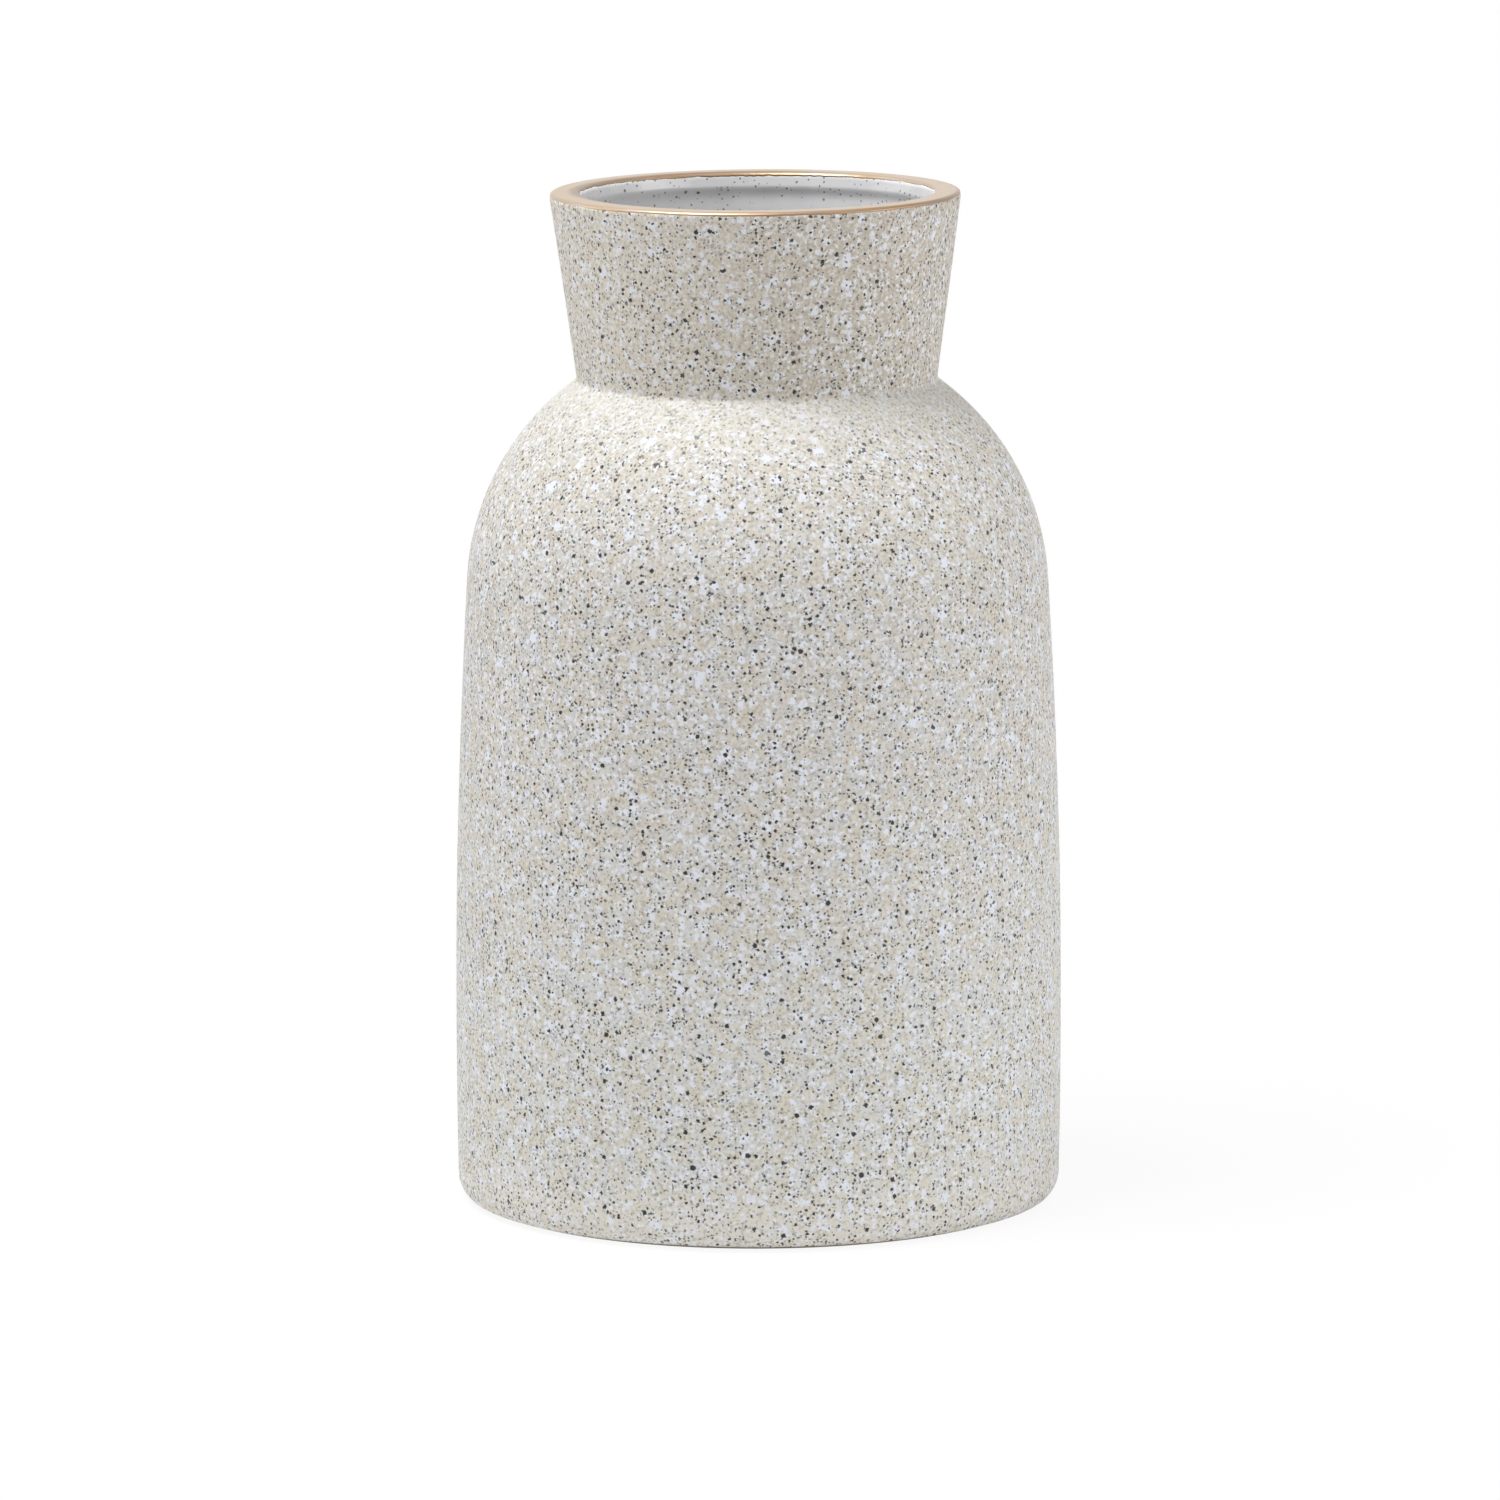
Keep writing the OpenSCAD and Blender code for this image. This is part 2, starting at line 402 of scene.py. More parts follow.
CLAY_TOP = HEIGHT - LUSTRE - GLAZE
EDGE_Z = CLAY_TOP - RIM_ROUND
EDGE_C = np.array([neck_r(EDGE_Z, GLAZE + RIM_ROUND), EDGE_Z])
INNER_DEPTH = GLAZE + WALL + GLAZE
LIP_C_Z = HEIGHT - LUSTRE - LIP_EDGE
LIP_C = np.array([inner_neck_r(LIP_C_Z, INNER_DEPTH) + LIP_EDGE / np.cos(NECK_SLOPE), LIP_C_Z])
RIM_MIDDLE = (EDGE_C[0] + LIP_C[0]) / 2
FOOT_C = corner_centre(GLAZE, FOOT_ROUND, FOOT_ROUND)
FLOOR_Z = FOOT_HOLLOW + FLOOR
FLOOR_C = corner_centre(GLAZE + WALL, FLOOR_Z + FLOOR_ROUND, FLOOR_ROUND)


def wall_heights(low, high):
    """Heights up a wall, closer together towards the crease, where the shape turns."""
    below = np.linspace(0, 1, BELOW_CREASE_STEPS)[:-1]
    across = np.linspace(-1, 1, CREASE_STEPS)
    above = np.linspace(0, 1, ABOVE_CREASE_STEPS)[1:]
    return np.concatenate([
        low + (CREASE_Z - CREASE_REACH - low) * below,
        CREASE_Z + CREASE_REACH * across,
        CREASE_Z + CREASE_REACH + (high - CREASE_Z - CREASE_REACH) * above,
    ])


def rolled(profile, depth):
    """The profile with its start rolled in: over the first depth of its length it comes out from
    depth inside its line to the line itself, as a quarter circle does."""
    step = np.linalg.norm(np.diff(profile, axis=0), axis=1)
    short = np.clip(1 - np.concatenate([[0], np.cumsum(step)]) / depth, 0, 1)
    return profile + (set_in(profile, depth) - profile) * (1 - np.sqrt(1 - short[:, None] ** 2))


def outside():
    """The finished outer surface, from the glaze line at the foot up and over the rim's edge to the
    middle of its flat top. The foot, wall and rim edge are arcs, and the dome and the neck's cone
    meet in a crease that the glaze has rounded."""
    foot_r = FOOT_ROUND + GLAZE
    foot_from = np.arcsin((GLAZE_LINE_Z - FOOT_C[1]) / foot_r)
    foot_to = bearing(WALL_C, FOOT_C)
    wall_to = bearing(WALL_C, SHOULDER_C)
    z = wall_heights(SHOULDER_C[1] + SHOULDER_ARC_R * np.sin(wall_to), EDGE_C[1] - GLAZE)
    rim_r = RIM_ROUND + GLAZE
    return np.concatenate([
        arc(FOOT_C, foot_r, foot_from, foot_to, FOOT_STEPS)[:-1],
        arc(WALL_C, WALL_ARC_R, foot_to, wall_to, WALL_STEPS)[:-1],
        np.column_stack([greater(shoulder_r(z, 0), neck_r(z, 0), CREASE_POOL), z]),
        arc(EDGE_C, rim_r, -NECK_SLOPE, np.pi / 2, ROUND_STEPS),
        [[RIM_MIDDLE, HEIGHT - LUSTRE]],
    ])


def inside():
    """The finished inner surface, from the middle of the rim's flat top over the thickened lip,
    down the neck, dome and wall, round the corner and in towards the middle of the floor."""
    depth = INNER_DEPTH
    edge = arc(LIP_C, LIP_EDGE, np.pi / 2, np.pi - NECK_SLOPE, ROUND_STEPS)
    lip_z = np.linspace(edge[-1, 1], LIP_ENDS_Z, LIP_STEPS)[1:]
    corner_r = FLOOR_ROUND - GLAZE
    wall_to = bearing(WALL_C, SHOULDER_C)
    up = wall_heights(SHOULDER_C[1] + (SHOULDER_ARC_R - depth) * np.sin(wall_to), lip_z[-1])
    dome = greater(shoulder_r(up, depth), inner_neck_r(up, depth), INNER_CREASE_ROUND)
    floor_r = np.linspace(FLOOR_C[0], 0, ROUND_STEPS)[1:-1]
    return np.concatenate([
        [[RIM_MIDDLE, HEIGHT - LUSTRE]],
        edge,
        np.column_stack([inner_neck_r(lip_z, depth), lip_z]),
        np.column_stack([dome, up])[::-1][1:],
        arc(WALL_C, WALL_ARC_R - depth, wall_to, bearing(WALL_C, FLOOR_C), INNER_WALL_STEPS)[1:],
        arc(FLOOR_C, corner_r, bearing(WALL_C, FLOOR_C), -np.pi / 2, ROUND_STEPS)[1:],
        np.column_stack([floor_r, np.full(len(floor_r), FLOOR_Z + GLAZE)]),
    ])


def foot():
    """The clay base, from under its middle out over the trimmed hollow, round the ring that the
    vase stands on, up the wall to its ledge, over the tongue, and back down and in over the floor.
    The hollow is scalloped by the trimming tool's depth times the cube of a cosine's size."""
    ring_steps, round_steps, wall_steps, tongue_steps, inner_steps = 8, 20, 12, 6, 10
    first_r = TRIM_PITCH / 4
    r = np.linspace(first_r, FOOT_RING_IN - FOOT_EDGE, HOLLOW_STEPS)
    hollow = FOOT_HOLLOW - TRIM_DEPTH * np.abs(np.cos(np.pi * r / TRIM_PITCH)) ** 3
    edge_c = (FOOT_RING_IN + FOOT_EDGE, FOOT_EDGE)
    foot_to, corner_from = bearing(WALL_C, FOOT_C), bearing(WALL_C, FLOOR_C)
    clay_r = WALL_ARC_R - GLAZE
    tongue_r = clay_r - WALL / 2 - SLIP
    in_r = clay_r - WALL
    ledge, top = BASE_JOINT_Z - BELLY_Z, BASE_JOINT_Z + TONGUE - BELLY_Z
    tongue_from, tongue_to = np.arcsin(ledge / tongue_r), np.arcsin(top / tongue_r)
    return np.concatenate([
        np.column_stack([r, hollow]),
        [[FOOT_RING_IN, FOOT_HOLLOW]],
        arc(edge_c, FOOT_EDGE, -np.pi, -np.pi / 2, ring_steps),
        arc(FOOT_C, FOOT_ROUND, -np.pi / 2, foot_to, round_steps),
        arc(WALL_C, clay_r, foot_to, np.arcsin(ledge / clay_r), wall_steps)[1:],
        arc(WALL_C, tongue_r, tongue_from, tongue_to, tongue_steps),
        arc(WALL_C, in_r, np.arcsin(top / in_r), corner_from, inner_steps),
        arc(FLOOR_C, FLOOR_ROUND, corner_from, -np.pi / 2, ROUND_STEPS)[1:],
        [[FLOOR_C[0] / 2, FLOOR_Z], [first_r, FLOOR_Z]],
    ])


# ---- Surfaces ------------------------------------------------------------------------------------

def drift(points, length, seed, waves=40):
    """A smooth wandering value for each point, about -1 to 1: the mean of cosines of plane waves
    whose directions, phases and lengths, near the one given, are drawn from a seed."""
    draw = np.random.default_rng(seed)
    heading = draw.normal(size=(3, waves))
    heading /= np.linalg.norm(heading, axis=0)
    number = 2 * np.pi / (length * draw.uniform(0.7, 1.5, waves))
    wave = np.cos(points @ (heading * number) + draw.uniform(0, 2 * np.pi, waves))
    return wave.mean(axis=-1) * np.sqrt(waves) / 2


def turned(r, z):
    """Rings of points: x and y are r times the cosine and sine of the turn. Then the neck leans to
    the left and its rim dips on that side, each more the higher it is, the mouth lies a little
    right of the rim's middle, the foot is tucked in on the right, and the wall wanders inwards."""
    angle = np.linspace(0, 2 * np.pi, r.shape[1], endpoint=False)
    points = np.stack([r * np.cos(angle), r * np.sin(angle), z], axis=2)
    up_neck = np.clip((z - CREASE_Z) / (HEIGHT - CREASE_Z), 0, 1)
    dip = RIM_DIP * up_neck ** 2 * (1 - points[..., 0] / RIM_R).clip(0) / 2
    pull = WANDER * (1 + drift(points, WANDER_LENGTH, seed=11).clip(-1, 1)) / 2
    points[..., :2] *= 1 - (pull / BELLY_R)[..., None]
    down_foot = np.clip(1 - z / FOOT_TUCK_ENDS_Z, 0, 1)
    tuck = FOOT_TUCK * down_foot * (points[..., 0] / BELLY_R).clip(0)
    within = np.clip((RIM_R - r) / (RIM_R - LIP_C[0]), 0, 1)
    aside = NECK_LEAN * up_neck + tuck - MOUTH_OFFSET * within * up_neck ** 2
    return points - np.stack([aside, 0 * z, dip], axis=2)


def rings(profile):
    """The profile turned about Z."""
    return turned(*(np.repeat(profile[:, [column]], TURNS, axis=1) for column in (0, 1)))


def skin(name, rings_of_points, ends_on_axis, slot, *nodes):
    """A piece with a closed skin over rings of points, an array of profile step by turn by 3. Each
    face joins four neighbours. The last ring joins the first, or each end closes on the axis."""
    steps, turns = rings_of_points.shape[:2]
    points = rings_of_points.reshape(-1, 3)
    index = np.arange(steps * turns).reshape(steps, turns)
    ahead = np.roll(index, -1, axis=1)
    if ends_on_axis:
        lower, upper = np.s_[:-1], np.s_[1:]
        quads = np.stack([index[lower], ahead[lower], ahead[upper], index[upper]], axis=2)
        poles = rings_of_points[[0, -1]].mean(axis=1)
        first, last = len(points), len(points) + 1
        points = np.concatenate([points, poles])
        fans = np.concatenate([
            np.column_stack([ahead[0], index[0], np.full(turns, first)]),
            np.column_stack([index[-1], ahead[-1], np.full(turns, last)]),
        ])
    else:
        onward = np.roll(index, -1, axis=0)
        quads = np.stack([index, ahead, np.roll(onward, -1, axis=1), onward], axis=2)
        fans = np.empty((0, 3), int)
    mesh = bpy.data.meshes.new(name)
    mesh.from_pydata(points.tolist(), [], quads.reshape(-1, 4).tolist() + fans.tolist())
    mesh.polygons.foreach_set("use_smooth", np.ones(len(mesh.polygons), bool))
    piece = bpy.data.objects.new(name, mesh)
    bpy.context.scene.collection.objects.link(piece)
    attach(piece, "root")
    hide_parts(*nodes)
    return piece


# ---- Finishes ------------------------------------------------------------------------------------

def tone(name):
    """A tone, as a screen writes it, turned into the light that it stands for."""
    screen = np.array(TONES[name]) / 255
    light = np.where(screen > 0.04045, ((screen + 0.055) / 1.055) ** 2.4, screen / 12.92)
    return (*light.tolist(), 1.0)


class Wire:
    """One output of a shader node. Sums, differences and products of wires and numbers add the
    Math nodes that work them out."""

    def __init__(self, finish, socket):
        self.finish = finish
        self.socket = socket

    def math(self, operation, first, second):
        return self.finish.node("ShaderNodeMath", {"operation": operation}, {0: first, 1: second})

    def __add__(self, other):
        return self.math("ADD", self, other)

    def __radd__(self, other):
        return self.math("ADD", other, self)

    def __sub__(self, other):
        return self.math("SUBTRACT", self, other)

    def __rsub__(self, other):
        return self.math("SUBTRACT", other, self)

    def __mul__(self, other):
        return self.math("MULTIPLY", self, other)

    def __rmul__(self, other):
        return self.math("MULTIPLY", other, self)

    def or_more(self, other):
        """The greater of this and another value."""
        return self.math("MAXIMUM", self, other)

    def twin(self, output):
        """Another output of the same node."""
        return Wire(self.finish, self.socket.node.outputs[output])


class Finish:
    """A procedural finish of a material or a world, built up as a tree of shader nodes."""

    def __init__(self, owner, end="ShaderNodeOutputMaterial"):
        owner.use_nodes = True
        self.owner = owner
        self.tree = owner.node_tree
        self.tree.nodes.clear()
        self.end = self.tree.nodes.new(end)

    def node(self, kind, settings, sockets, output=0):
        """Adds a node, sets it up, then sets or links its sockets, and gives one output."""
        made = self.tree.nodes.new(kind)
        for key, value in settings.items():
            setattr(made, key, value)
        for key, value in sockets.items():
            if isinstance(value, Wire):
                self.tree.links.new(value.socket, made.inputs[key])
            else:
                made.inputs[key].default_value = value
        return Wire(self, made.outputs[output])

    def place(self):
        """The place of each point on the piece, in metres."""
        return self.node("ShaderNodeTexCoord", {}, {}, "Object")

    def cloud(self, place, size, detail=2.0, rough=0.5):
        """Noise from 0 to 1 whose lumps are about as large as size."""
        sockets = {"Vector": place, "Scale": 1 / size, "Detail": detail, "Roughness": rough}
        return self.node("ShaderNodeTexNoise", {}, sockets, "Fac")

    def grains(self, place, spacing):
        """Distance to the nearest of many scattered points, in metres, and that point's random
        number from 0 to 1."""
        sockets = {"Vector": place, "Scale": 1 / spacing}
        near = self.node("ShaderNodeTexVoronoi", {"feature": "F1"}, sockets, "Distance")
        pick = self.node("ShaderNodeSeparateColor", {}, {0: near.twin("Color")}, "Red")
        return near * spacing, pick

    def spots(self, place, kind, rough=0.0, crowd=0.0):
        """Scattered spots of a kind: where the roughened distance to the nearest point is less than
        their edge, fully within their core, for points whose random number with the crowding is
        past the first chance, and fully past the second."""
        aside, spacing, edge, core, some, sure = kind
        near, pick = self.grains(self.vector("ADD", place, aside), spacing)
        return self.ramp(near + rough, edge, core) * self.ramp(pick + crowd, some, sure)

    def ramp(self, value, low, high):
        """0 at low and 1 at high, smooth between them, and the other way round if high is less."""
        sockets = {"Value": value, "From Min": low, "From Max": high}
        return self.node("ShaderNodeMapRange", {"interpolation_type": "SMOOTHSTEP"}, sockets)

    def mix(self, share, under, over):
        """The colour under, covered by the colour over in a share."""
        return self.node("ShaderNodeMix", {"data_type": "RGBA"}, {0: share, 6: under, 7: over}, 2)

    def vector(self, operation, first, second, output=0):
        """A Vector Math node."""
        sockets = {0: first, 1: second}
        return self.node("ShaderNodeVectorMath", {"operation": operation}, sockets, output)

    def shift(self, place, size, reach):
        """The place moved by a noise of a size, by up to about half of reach."""
        sockets = {"Vector": place, "Scale": 1 / size, "Detail": 1.0}
        stir = self.node("ShaderNodeTexNoise", {}, sockets, "Color")
        centred = self.vector("SUBTRACT", stir, (0.5, 0.5, 0.5))
        return self.vector("ADD", place, self.vector("MULTIPLY", centred, (reach, reach, reach)))

    def bump(self, height, reach):
        """A normal for a height from 0 to 1 that stands up by reach."""
        return self.node("ShaderNodeBump", {}, {"Height": height, "Distance": reach}, "Normal")

    def close(self, shader):
        """Ends the tree with a shader."""
        self.tree.links.new(shader.socket, self.end.inputs["Surface"])
        return self.owner

    def surface(self, sockets):
        """Ends the tree with a Principled surface."""
        return self.close(self.node("ShaderNodeBsdfPrincipled", {}, sockets))


def speckled_glaze(iron_places):
    """A beige matte glaze, densely flecked: fine pale and grey grain, small bluish white flakes and
    larger patches, grey dust and iron specks of several sizes, each in a small pit. Higher up it is
    warmer, a painted tint of warm light from above, and low on the body it is lighter and cooler,
    painted light bounced up from the floor. It is paler at the very foot, painted light on its
    downward face, and paler on the shoulder under the neck, painted light against the neck's shade,
    where the glaze also gathered and shows fewer flecks. On the neck the glaze is warmer, with
    painted light on its left and painted shade on its right. The largest specks have given places."""
    f = Finish(bpy.data.materials.new("speckled_glaze"))
    place = f.place()
    stirred = f.shift(place, 0.8 * MM, 0.9 * MM)
    ragged = (f.cloud(place, 0.33 * MM, 1) - 0.5) * (0.6 * MM)
    chipped = (f.cloud(place, 0.7 * MM, 2) - 0.5) * (1.0 * MM)
    dense = f.cloud(place, 3 * MM, 3)
    crowd = f.cloud(place, 13 * MM, 2)

    across = f.node("ShaderNodeSeparateXYZ", {}, {0: place}, "X")
    height = across.twin("Z")
    neck = f.ramp(height, *NECK_TONE_Z)
    # the shoulder under the neck, where the glaze gathered and shows fewer flecks, and where
    # painted light is laid against the neck's shade
    pooled_and_lightened = f.ramp(height, *POOL_AND_LIGHT_Z) - neck
    cool = f.ramp(dense, 0.38, 0.62)
    coat = f.mix(cool, tone("cream"), tone("ash"))
    # lighter and cooler low on the body: painted light bounced up from the floor
    low = f.mix(cool, tone("bounce_lit_cream"), tone("bounce_lit_ash"))
    coat = f.mix(f.ramp(height, *LOW_BOUNCE_LIGHT_Z) * 0.8, coat, low)
    # paler at the very foot: painted light on its downward face
    coat = f.mix(f.ramp(height, *FOOT_LIGHT_Z) * 0.8, coat, tone("foot"))
    # warmer higher up: a painted tint of warm light from above
    coat = f.mix(f.ramp(height, *HIGH_WARM_LIGHT_Z) * 0.5, coat, tone("high"))
    # the neck's warmer glaze, with painted light on its left and painted shade on its right
    warm_and_painted_light = f.mix(f.ramp(across, *NECK_LIGHT_TO_SHADE_X), tone("neck_painted_light"), tone("neck_painted_shade"))
    coat = f.mix(neck * 0.8, coat, warm_and_painted_light)
    # paler there: painted light against the neck's shade
    coat = f.mix(pooled_and_lightened * 0.6, coat, tone("pool_painted_light"))

    grain = f.cloud(place, 0.66 * MM, 1.2)
    coat = f.mix(f.ramp(grain, 0.50, 0.68) * 0.7, coat, tone("pale_grain"))
    coat = f.mix(f.ramp(grain, 0.48, 0.32) * 0.5, coat, tone("grey_grain"))

    flakes = f.spots(stirred, FLAKES, chipped, dense)
    patches = f.spots(stirred, PATCHES, chipped, dense)
    broad = f.spots(stirred, BROAD_PATCHES, chipped * 2, dense)
    white = flakes.or_more(patches).or_more(broad) * (1 - neck * 0.1 - pooled_and_lightened * 0.4)
    coat = f.mix(white * 0.95, coat, tone("white"))

    dust = f.spots(place, DUST, ragged, crowd * 0.5)
    coat = f.mix(dust * (1 - pooled_and_lightened * 0.5), coat, tone("dust"))

    specks = f.spots(place, SPECKS, ragged, crowd * 0.4)
    iron = specks.or_more(f.spots(place, BLOTS, ragged)) * (1 - pooled_and_lightened * 0.6)
    for name, spot in iron_places.items():
        reach = f.vector("DISTANCE", place, tuple(spot), "Value")
        edge, core = IRON_R[name] * 1.1, IRON_R[name] * 0.7
        iron = iron.or_more(f.ramp(reach + ragged * 0.6, edge, core))
    coat = f.mix(iron, coat, tone("iron"))

    pits = iron + dust * 0.4
    relief = f.cloud(place, 0.8 * MM, 2) * 0.5 + white * 0.3 - pits * 0.6
    return f.surface({
        "Base Color": coat,
        "Roughness": 0.62 - white * 0.06 - iron * 0.15,
        "Normal": f.bump(relief, 0.06 * MM),
    })


def liner_glaze():
    """A glossy pale grey glaze with fine dark specks and a few larger ones, greyer further down
    inside the mouth, which is painted shade.
    """
    f = Finish(bpy.data.materials.new("liner_glaze"))
    place = f.place()
    height = f.node("ShaderNodeSeparateXYZ", {}, {0: place}, "Z")
    stirred = f.shift(place, 0.5 * MM, 0.4 * MM)
    specks = f.spots(stirred, LINER_DUST).or_more(f.spots(stirred, LINER_SPECKS))
    cloud = f.cloud(place, 5 * MM, 3)
    coat = f.mix(f.ramp(cloud, 0.3, 0.7), tone("liner_shade"), tone("liner"))
    # greyer deeper inside the mouth: painted shade
    coat = f.mix(f.ramp(height, *LINER_SHADE_Z) * 0.6, coat, tone("liner_painted_shade"))
    coat = f.mix(specks * 0.85, coat, tone("liner_speck"))
    return f.surface({
        "Base Color": coat,
        "Roughness": f.cloud(place, 2 * MM) * 0.06 + 0.12,
        "Normal": f.bump(f.cloud(place, 4 * MM), 0.05 * MM),
    })


def gold_lustre():
    """A satin pale gold film with fine brush lines round the rim: noise that is drawn out
    along the rim, because it reads x and y at a small share and the step across the band in full.
    Where the mesh's attribute says so, it is darker and browner: a painted dark reflection on the
    edges that face front right."""
    f = Finish(bpy.data.materials.new("gold_lustre"))
    place = f.place()
    x = f.node("ShaderNodeSeparateXYZ", {}, {0: place})
    y, z = x.twin(1), x.twin(2)
    r = f.vector("LENGTH", f.vector("MULTIPLY", place, (1, 1, 0)), (0, 0, 0), "Value")
    sockets = {0: x * BRUSH_SHARE, 1: y * BRUSH_SHARE, 2: r - z}
    drawn = f.node("ShaderNodeCombineXYZ", {}, sockets)
    lines = f.cloud(drawn, 0.16 * MM, 3, 0.6)
    blush = f.cloud(place, 7 * MM, 2)
    # where the lustre shows its painted dark reflection
    warm_and_painted_light = f.node("ShaderNodeAttribute", {"attribute_name": "warm_and_painted_light"}, {}, "Fac")
    gold = f.mix(f.ramp(blush, 0.35, 0.65), tone("gold"), tone("pale_gold"))
    gold = f.mix(f.ramp(lines, 0.48, 0.30) * 0.5, gold, tone("brush_line"))
    # darker and browner there: a painted dark reflection
    gold = f.mix(f.ramp(warm_and_painted_light + (lines - 0.5) * 0.3, 0.1, 0.75) * 0.65, gold, tone("reflected_dark_gold"))
    return f.surface({
        "Base Color": gold,
        "Metallic": 1.0,
        "Roughness": lines * 0.2 + 0.22,
        "Normal": f.bump(lines + f.cloud(place, 0.5 * MM, 2) * 0.6, 0.015 * MM),
    })


def fired_clay(name, pale, dark):
    """Bare fired stoneware: sandy, with fine grog and a few iron specks."""
    f = Finish(bpy.data.materials.new(name))
    place = f.place()
    sand = f.cloud(place, 0.5 * MM, 3, 0.6)
    clay = f.mix(f.ramp(sand, 0.35, 0.65), dark, pale)
    clay = f.mix(f.spots(place, CLAY_IRON) * 0.7, clay, tone("clay_iron"))
    return f.surface({
        "Base Color": clay,
        "Roughness": 0.8 + sand * 0.15,
        "Normal": f.bump(sand, 0.05 * MM),
    })


# ---- Pieces --------------------------------------------------------------------------------------

def dress(piece, finish):
    """Gives a piece one finish all over."""
    piece.data.materials.clear()
    piece.data.materials.append(finish)


def thinned(profile):
    """Few rows of a profile, and its last, for a side that nobody sees."""
    return np.concatenate([profile[:-1:UNSEEN], profile[-1:]])


def outer_coat():
    """The outer glaze: its finished surface, with a rolled edge at the foot, and back down the
    clay."""
    face = outside()
    clay_side = thinned(set_in(face, GLAZE))
    return rings(np.concatenate([rolled(face, GLAZE * 0.95), clay_side[::-1]]))


def liner_coat():
    """The liner glaze: from under the floor up the clay, over the middle of the rim, and back down
    its finished surface to the middle of the floor."""
    face = inside()
    clay_side = thinned(set_in(face, GLAZE)[::-1])
    return rings(np.concatenate([clay_side, face]))


def rim_path():
    """The finished glaze over the rim, from 3 mm down outside to 2 mm down inside."""
    out, within = outside(), inside()
    low_out, low_within = HEIGHT - 3 * MM, HEIGHT - 2 * MM
    return np.concatenate([out[out[:, 1] > low_out][:-1], within[within[:, 1] > low_within]])


def painted_dark_reflection(share, angle):
    """How much painted dark reflection the lustre shows, from 0 to about 1, by the share of the way
    across it, from its outer to its inner edge, and the turn. The outer edge is painted darker
    where it faces front right, and the inner edge where it faces that way too, which is across the
    mouth."""
    outside_edge = (1 - share / DARK_OUTER).clip(0, 1)
    inside_edge = (1 - (1 - share) / DARK_INNER).clip(0, 1)
    toward = np.cos(angle - DARKEST_TURN)
    outer = outside_edge * (0.25 + 0.75 * toward).clip(DARK_LEAST, DARK_MOST)
    inner = inside_edge * (0.1 - 1.3 * toward).clip(DARK_LEAST, DARK_MOST)
    return outer + inner


def wander(points, parts):
    """The sum of several drifts, each with its length, size and seed."""
    return sum(drift(points, length, seed) * size for length, size, seed in parts)


def lustre_film(outer_z, inner_z):
    """The gold over the rim: each ring runs across the rim's path from a wandering outer edge near
    one height to a wandering inner edge near another. It stands off the path by a thickness that
    rises from almost nothing at both edges as a quarter circle does."""
    path = rim_path()
    step = np.linalg.norm(np.diff(path, axis=0), axis=1)
    reach = np.concatenate([[0], np.cumsum(step)])
    off = set_in(path, -1) - path
    top = np.argmax(path[:, 1])
    angle = np.linspace(0, 2 * np.pi, LUSTRE_TURNS, endpoint=False)
    circle = np.column_stack([RIM_R * np.cos(angle), RIM_R * np.sin(angle), 0 * angle])
    start = np.interp(outer_z, path[:top, 1], reach[:top]) + wander(circle, OUTER_WANDER)
    stop = np.interp(-inner_z, -path[top:, 1], reach[top:]) + wander(circle, INNER_WANDER)
    stop = stop - LUSTRE_SHORT * np.cos(angle) ** 2
    share = np.linspace(0, 1, LUSTRE_STEPS)[:, None]
    s = start + (stop - start) * share
    inwards = np.clip(np.minimum(s - start, stop - s) / LUSTRE_EDGE, 0, 1)
    thick = LUSTRE_LEAST + (LUSTRE - LUSTRE_LEAST) * np.sqrt(1 - (1 - inwards) ** 2)
    r, z, off_r, off_z = (np.interp(s, reach, column) for column in (*path.T, *off.T))
    r = np.concatenate([r + off_r * thick, (r - off_r * LUSTRE_LEAST)[::-1]])
    z = np.concatenate([z + off_z * thick, (z - off_z * LUSTRE_LEAST)[::-1]])
    # how much painted dark reflection each point of the lustre shows
    warm_and_painted_light = painted_dark_reflection(share, angle)
    return turned(r, z), np.concatenate([warm_and_painted_light, warm_and_painted_light[::-1]])


coat_rings = outer_coat()
liner_rings = liner_coat()
foot_rings = rings(foot())
coat = skin("speckled_coat", coat_rings, False, "speckled_glaze", "outer_glaze")
liner = skin("liner_coat", liner_rings, True, "liner_glaze", "liner_glaze")
foot_piece = skin("turned_foot", foot_rings, True, "bare_clay", "base")

front_z, back_z = place_on("lustre_front", coat)[2], place_on("lustre_back", liner)[2]
lustre_rings, dark_reflection = lustre_film(front_z, back_z)
lustre = skin("lustre_band", lustre_rings, False, "gold_lustre", "rim_lustre")
# the lustre's painted dark reflection, kept on its points
lustre.data.attributes.new("warm_and_painted_light", "FLOAT", "POINT").data.foreach_set("value", dark_reflection.ravel())
iron_places = {name: place_on(name, coat) for name in IRON_R}

bare_clay = fired_clay("bare_clay", tone("clay"), tone("dark_clay"))
joining_slip = fired_clay("joining_slip", tone("slip"), tone("dark_slip"))
dress(coat, speckled_glaze(iron_places))
dress(liner, liner_glaze())
dress(lustre, gold_lustre())
dress(foot_piece, bare_clay)
for node in ("base", "body_wall", "shoulder", "neck"):
    dress(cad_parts[node], bare_clay)
for node in ("base_seam", "shoulder_seam", "neck_seam"):
    dress(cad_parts[node], joining_slip)


# ---- Studio --------------------------------------------------------------------------------------

